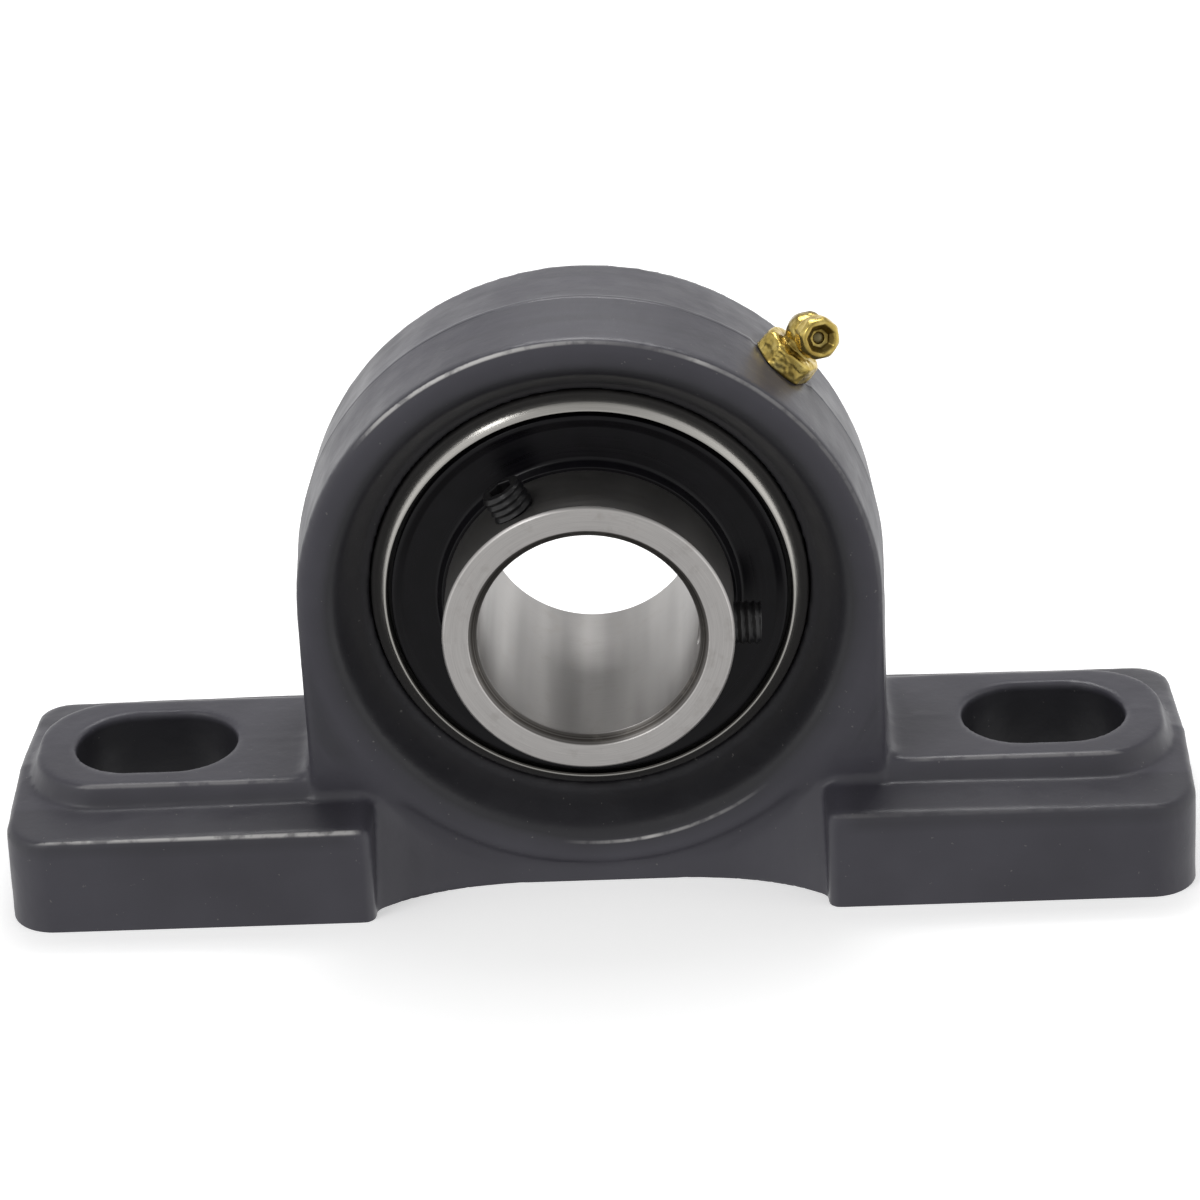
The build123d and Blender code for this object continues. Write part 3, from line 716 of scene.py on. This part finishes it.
def inner_ring_piece():
    me = lathe("inner_ring_ground", rounded([
        (INNER_FRONT, BORE_R + 1.3, 0.12), (INNER_FRONT, INNER_R - 0.35, 0.12), (INNER_FRONT + 0.35, INNER_R, 0.12),
        (-4.2, INNER_R, 0.05), (-3.55, INNER_R - 0.75, 0.0), (-2.6, INNER_R - 1.15, 0.0), (-1.4, INNER_R - 1.4, 0.0), (0, INNER_R - 1.56, 0.0),
        (1.4, INNER_R - 1.4, 0.0), (2.6, INNER_R - 1.15, 0.0), (3.55, INNER_R - 0.75, 0.0), (4.2, INNER_R, 0.05),
        (INNER_BACK - 0.35, INNER_R, 0.12), (INNER_BACK, INNER_R - 0.35, 0.12), (INNER_BACK, BORE_R + 1.3, 0.12),
        (INNER_BACK - 1.3, BORE_R, 0.12), (INNER_FRONT + 1.3, BORE_R, 0.12),
    ]), 256)
    obj = link(bpy.data.objects.new("inner_ring_ground", me))
    cut = thread(1.0, 0.42)
    tools = []
    for angle in SCREW_ANGLES:
        a = radians(angle)
        d = Vector((cos(a), 0, sin(a)))
        base = CENTRE + Vector((0, SCREW_Y, 0)) + d * 12.0
        rows = [(h * 0.125, SCREW_R + 0.12) for h in range(0, 81)]
        tools.append(turned("tap", base, d, rows, 48, lambda h, t, r: r - cut(h, t)))
    carve(obj, tools)
    obj.data.shade_smooth()
    return finish_piece(obj, "inner_ring", "inner", GROUND)


def slinger_piece(side):
    name = "front" if side < 0 else "rear"
    me = lathe(f"{name}_slinger_pressed", rounded([
        (side * 8.35, INNER_R + 0.01, 0), (side * 10.7, INNER_R + 0.01, 0), (side * 10.7, INNER_R + 0.45, 0.22),
        (side * 9.35, INNER_R + 1.1, 0.7), (side * 9.15, 25.6, 1.2), (side * 9.45, 26.7, 0.6), (side * 9.25, 27.2, 0.25),
        (side * 7.6, 27.2, 0.12), (side * 7.6, 26.6, 0.12), (side * 8.6, 26.5, 0.2), (side * 8.35, 25.4, 0.6),
    ], 5), 256)
    obj = link(bpy.data.objects.new(f"{name}_slinger_pressed", me))
    return finish_piece(obj, f"{name}_slinger", "inner", SLINGER)


def seal_piece(side):
    name = "front" if side < 0 else "rear"
    me = lathe(f"{name}_seal_lipped", rounded([
        (side * 6.34, 27.78, 0.1), (side * 7.2, 27.78, 0.12), (side * 7.2, 25.6, 0.2), (side * 7.0, 25.2, 0.15), (side * 7.0, 23.6, 0.15),
        (side * 7.2, 23.2, 0.2), (side * 7.2, INNER_R + 1.6, 0.3), (side * 7.68, INNER_R + 0.36, 0.08), (side * 7.4, INNER_R + 0.36, 0.05),
        (side * 7.0, INNER_R + 1.0, 0.2), (side * 6.6, INNER_R + 0.4, 0.05), (side * 6.45, INNER_R + 0.5, 0.05), (side * 6.34, INNER_R + 1.9, 0.2),
    ], 3), 192)
    obj = link(bpy.data.objects.new(f"{name}_seal_lipped", me))
    return finish_piece(obj, f"{name}_seal", "insert", RUBBER)


def set_screw_piece(k, angle):
    a = radians(angle)
    d = Vector((cos(a), 0, sin(a)))
    tip = CENTRE + Vector((0, SCREW_Y, 0)) + d * SCREW_IN
    cut = thread(1.0, 0.36)
    step = 0.1
    rows = [(h * step, 0) for h in range(0, int(SCREW_LEN / step) + 1)]

    def skin(h, t, r):
        q = SCREW_R - cut(h, t)
        q = min(q, SCREW_R - 0.8 + h * 1.0)
        return min(q, SCREW_R - 0.45 + (SCREW_LEN - h) * 1.1)

    me = turned(f"set_screw_{k}_threaded", tip, d, rows, 64, skin)
    obj = link(bpy.data.objects.new(f"set_screw_{k}_threaded", me))
    hexa = turned("key", tip + d * (SCREW_LEN - 3.2), d, [(-0.35, 0.5), (0, 1.5), (3.0, 1.5), (3.3, 1.75)], 6, lambda h, t, r: r / cos(pi / 6))
    cup = turned("cup", tip, d, [(-0.3, 1.75), (0.75, 0.35)], 32)
    carve(obj, (hexa, cup))
    obj.data.shade_smooth()
    return finish_piece(obj, f"set_screw_{k}", f"set_screw_{k}", SCREW)


def grease_fitting_piece():
    """angle fitting: rough hexagon, round knuckle and a broad nose with a sunken, faceted mouth"""
    d = FIT_AXIS
    turn, bend = radians(4.5), radians(67.5)
    swing = Vector((0, -1, 0)) * cos(turn) + Vector((d.z, 0, -d.x)) * sin(turn)
    n = (d * cos(bend) + swing * sin(bend)).normalized()
    foot, elbow = CENTRE + d * FIT_FACE, CENTRE + d * 46.0
    side = d.orthogonal().normalized()
    # direction of one flat of the hexagon, seen round the axis that turned() uses
    flat = atan2(Vector((0, 1, 0)).dot(d.cross(side)), Vector((0, 1, 0)).dot(side))

    def hexagon(h, t, r):
        a = ((t - flat + pi / 6) % (pi / 3)) - pi / 6
        return min(r, 4.0 / cos(a), 4.34)

    hex_rows = [(0.0, 3.9), (0.15, 4.4), (2.5, 4.4), (2.9, 4.25), (3.15, 3.95), (3.3, 3.5)]
    obj = link(bpy.data.objects.new("grease_fitting_turned", turned("hex", foot, d, hex_rows, 96, hexagon)))
    cut = thread(1.0, 0.45)
    stem = turned("stem", foot, d, [(-6.0 + 0.125 * k, 2.96) for k in range(51)], 48, lambda h, t, r: r - (cut(h, t) if h < -0.4 else 0))
    neck = turned("neck", foot, d, [(2.9, 2.5), (3.4, 2.3), (6.0, 2.3)], 48)
    ball = turned("knuckle", elbow - n * 0.5, d, [(-2.95 * cos(pi * k / 24), 2.95 * sin(pi * k / 24) + 0.02) for k in range(1, 24)], 48)
    nose = turned("nose", elbow, n, [
        (-0.6, 2.0), (2.05, 2.0), (2.3, 2.1), (2.6, 2.65), (2.8, 2.95), (3.0, 3.0), (4.1, 3.0), (4.35, 2.92), (4.85, 2.6), (5.02, 2.45), (5.1, 2.3),
    ], 48, lambda h, t, r: min(r, 2.78 / cos(((t + 0.3) % (pi / 4)) - pi / 8)) if h > 3.9 else r)
    carve(obj, (stem, neck, ball, nose), "UNION")
    mouth = turned("mouth", elbow, n, [(4.0, 0.95), (4.15, 1.35), (4.4, 1.45), (5.12, 2.15), (5.6, 2.6)], 7)
    chamber = turned("chamber", elbow, n, [(-0.2, 0.7), (0.45, 0.7), (0.46, 1.3), (3.2, 1.3), (3.9, 0.8), (4.6, 0.8)], 40)
    drill = turned("drill", foot, d, [(-6.5, 0.9), (5.8, 0.9)], 32)
    carve(obj, (mouth, chamber, drill))
    me = obj.data
    bpy.data.objects.remove(obj)
    obj, me, co, edges = remeshed("grease_fitting_turned", me, 0.095, 2)
    place(me, co)
    nor = normals_of(me)
    for i in range(len(co)):
        p = Vector(co[i])
        h = (p - foot).dot(d)
        if h < 0.25 or (p - elbow).dot(n) > 2.3:
            continue
        inside = ((p - elbow) - n * (p - elbow).dot(n)).length < 1.5 and (p - elbow).dot(n) > -0.5
        if inside or ((p - foot) - d * h).length < 1.1:
            continue
        rough = 0.16 * pattern.noise(p * 0.62) + 0.05 * pattern.noise(p * 1.9)
        co[i] = p + Vector(nor[i]) * rough
    place(me, co)
    return finish_piece(obj, "grease_fitting", "housing", BRASS)


housing_casting()
outer_ring_piece()
inner_ring_piece()
for side in (-1, 1):
    slinger_piece(side)
    seal_piece(side)
for k, angle in enumerate(SCREW_ANGLES, 1):
    set_screw_piece(k, angle)
grease_fitting_piece()
for o in bpy.data.objects:
    if o.type == "MESH" and o.name.endswith(("_ground", "_lapped", "_threaded", "_pressed", "_lipped")):
        o.data.set_sharp_from_angle(angle=radians(32))


# ---------------------------------------------------------------- floor, light, camera
scene = bpy.context.scene


floor_mesh = bpy.data.meshes.new("floor")
half = 3.0
floor_mesh.from_pydata([(-half, -half, 0), (half, -half, 0), (half, half, 0), (-half, half, 0)], [], [(0, 1, 2, 3)])
floor = link(bpy.data.objects.new("floor", floor_mesh))
m, t, s = new_material("floor_paper")
t.links.new(ramp(t, noise(t, position(t), 3, 2), [(0.3, (0.86, 0.86, 0.86)), (0.7, (0.88, 0.88, 0.88))]), s.inputs["Base Color"])
set_socket(s, Roughness=0.9, Specular_IOR_Level=0.1, Emission_Strength=0.42)
s.inputs["Emission Color"].default_value = (1, 1, 1, 1)
floor.data.materials.append(m)
floor.visible_glossy = False
floor.visible_diffuse = False

# soft room light: a dim front, pale walls behind and at the sides
world = bpy.data.worlds.new("studio")
scene.world = world
world.use_nodes = True
wt = world.node_tree
bg = wt.nodes["Background"]
sep = wt.nodes.new("ShaderNodeSeparateXYZ")
wt.links.new(wt.nodes.new("ShaderNodeTexCoord").outputs["Generated"], sep.inputs[0])
wx, wy, wz = sep.outputs
side_left = maths(wt, "POWER", maths(wt, "MAXIMUM", maths(wt, "MULTIPLY", wx, -1.0), 0.0), 2.0)
side_right = maths(wt, "POWER", maths(wt, "MAXIMUM", wx, 0.0), 2.0)
above = maths(wt, "MAXIMUM", wz, 0.0)
low = maths(wt, "SUBTRACT", 1.0, maths(wt, "MULTIPLY", above, 1.5))
behind = maths(wt, "MULTIPLY", maths(wt, "POWER", maths(wt, "MAXIMUM", wy, 0.0), 2.0), maths(wt, "MAXIMUM", low, 0.1))
ahead = maths(wt, "MAXIMUM", maths(wt, "MULTIPLY", wy, -1.0), 0.0)
glow = ROOM
for way, strength in ((side_left, ROOM_LEFT), (side_right, ROOM_RIGHT), (above, ROOM_TOP), (behind, ROOM_BACK), (ahead, ROOM_FRONT)):
    glow = maths(wt, "ADD", maths(wt, "MULTIPLY", way, strength), glow)
wt.links.new(glow, bg.inputs[1])
bg.inputs[0].default_value = (1.0, 1.0, 1.0, 1)


def area(name, at, towards, size, power, colour=(1, 1, 1)):
    d = bpy.data.lights.new(name, "AREA")
    d.shape = "RECTANGLE"
    d.size, d.size_y = size
    d.energy = power
    d.color = colour
    o = link(bpy.data.objects.new(name, d))
    o.location = at
    o.rotation_euler = (Vector(towards) - Vector(at)).to_track_quat("-Z", "Y").to_euler()
    o.visible_camera = False
    return o


area("light_top", (0, 0.35, 0.9), (0, 0, 0.04), (0.5, 0.4), TOP_LIGHT)
area("light_key", (-0.55, -0.45, 0.75), (0, 0, 0.04), (0.3, 0.3), KEY_LIGHT)
area("light_crown", (0.01, 0.10, 0.25), (0, 0.0, 0.075), (0.16, 0.06), CROWN_LIGHT)

target = Vector((0, 0, AXIS_Z))
az, el, roll = radians(2.0), radians(26.5), radians(-2.9)
back = Vector((sin(az) * cos(el), -cos(az) * cos(el), sin(el)))
right = Vector((cos(az), sin(az), 0))
up = back.cross(right)
r = right * cos(roll) + up * sin(roll)
u = up * cos(roll) - right * sin(roll)
cam_data = bpy.data.cameras.new("camera")
cam_data.lens = 7.197 * 600 / 1200 * 36
cam_data.sensor_width = 36
cam_data.shift_x = (600 - 590.4) / 1200
cam_data.shift_y = (566 - 600) / 1200
cam_data.clip_start = 0.01
cam_data.clip_end = 20
camera = link(bpy.data.objects.new("camera", cam_data))
place = target + back * 0.6
camera.matrix_world = Matrix((
    (r.x, u.x, back.x, place.x),
    (r.y, u.y, back.y, place.y),
    (r.z, u.z, back.z, place.z),
    (0, 0, 0, 1),
))
scene.camera = camera
scene.view_settings.view_transform = "Standard"
scene.view_settings.look = "None"
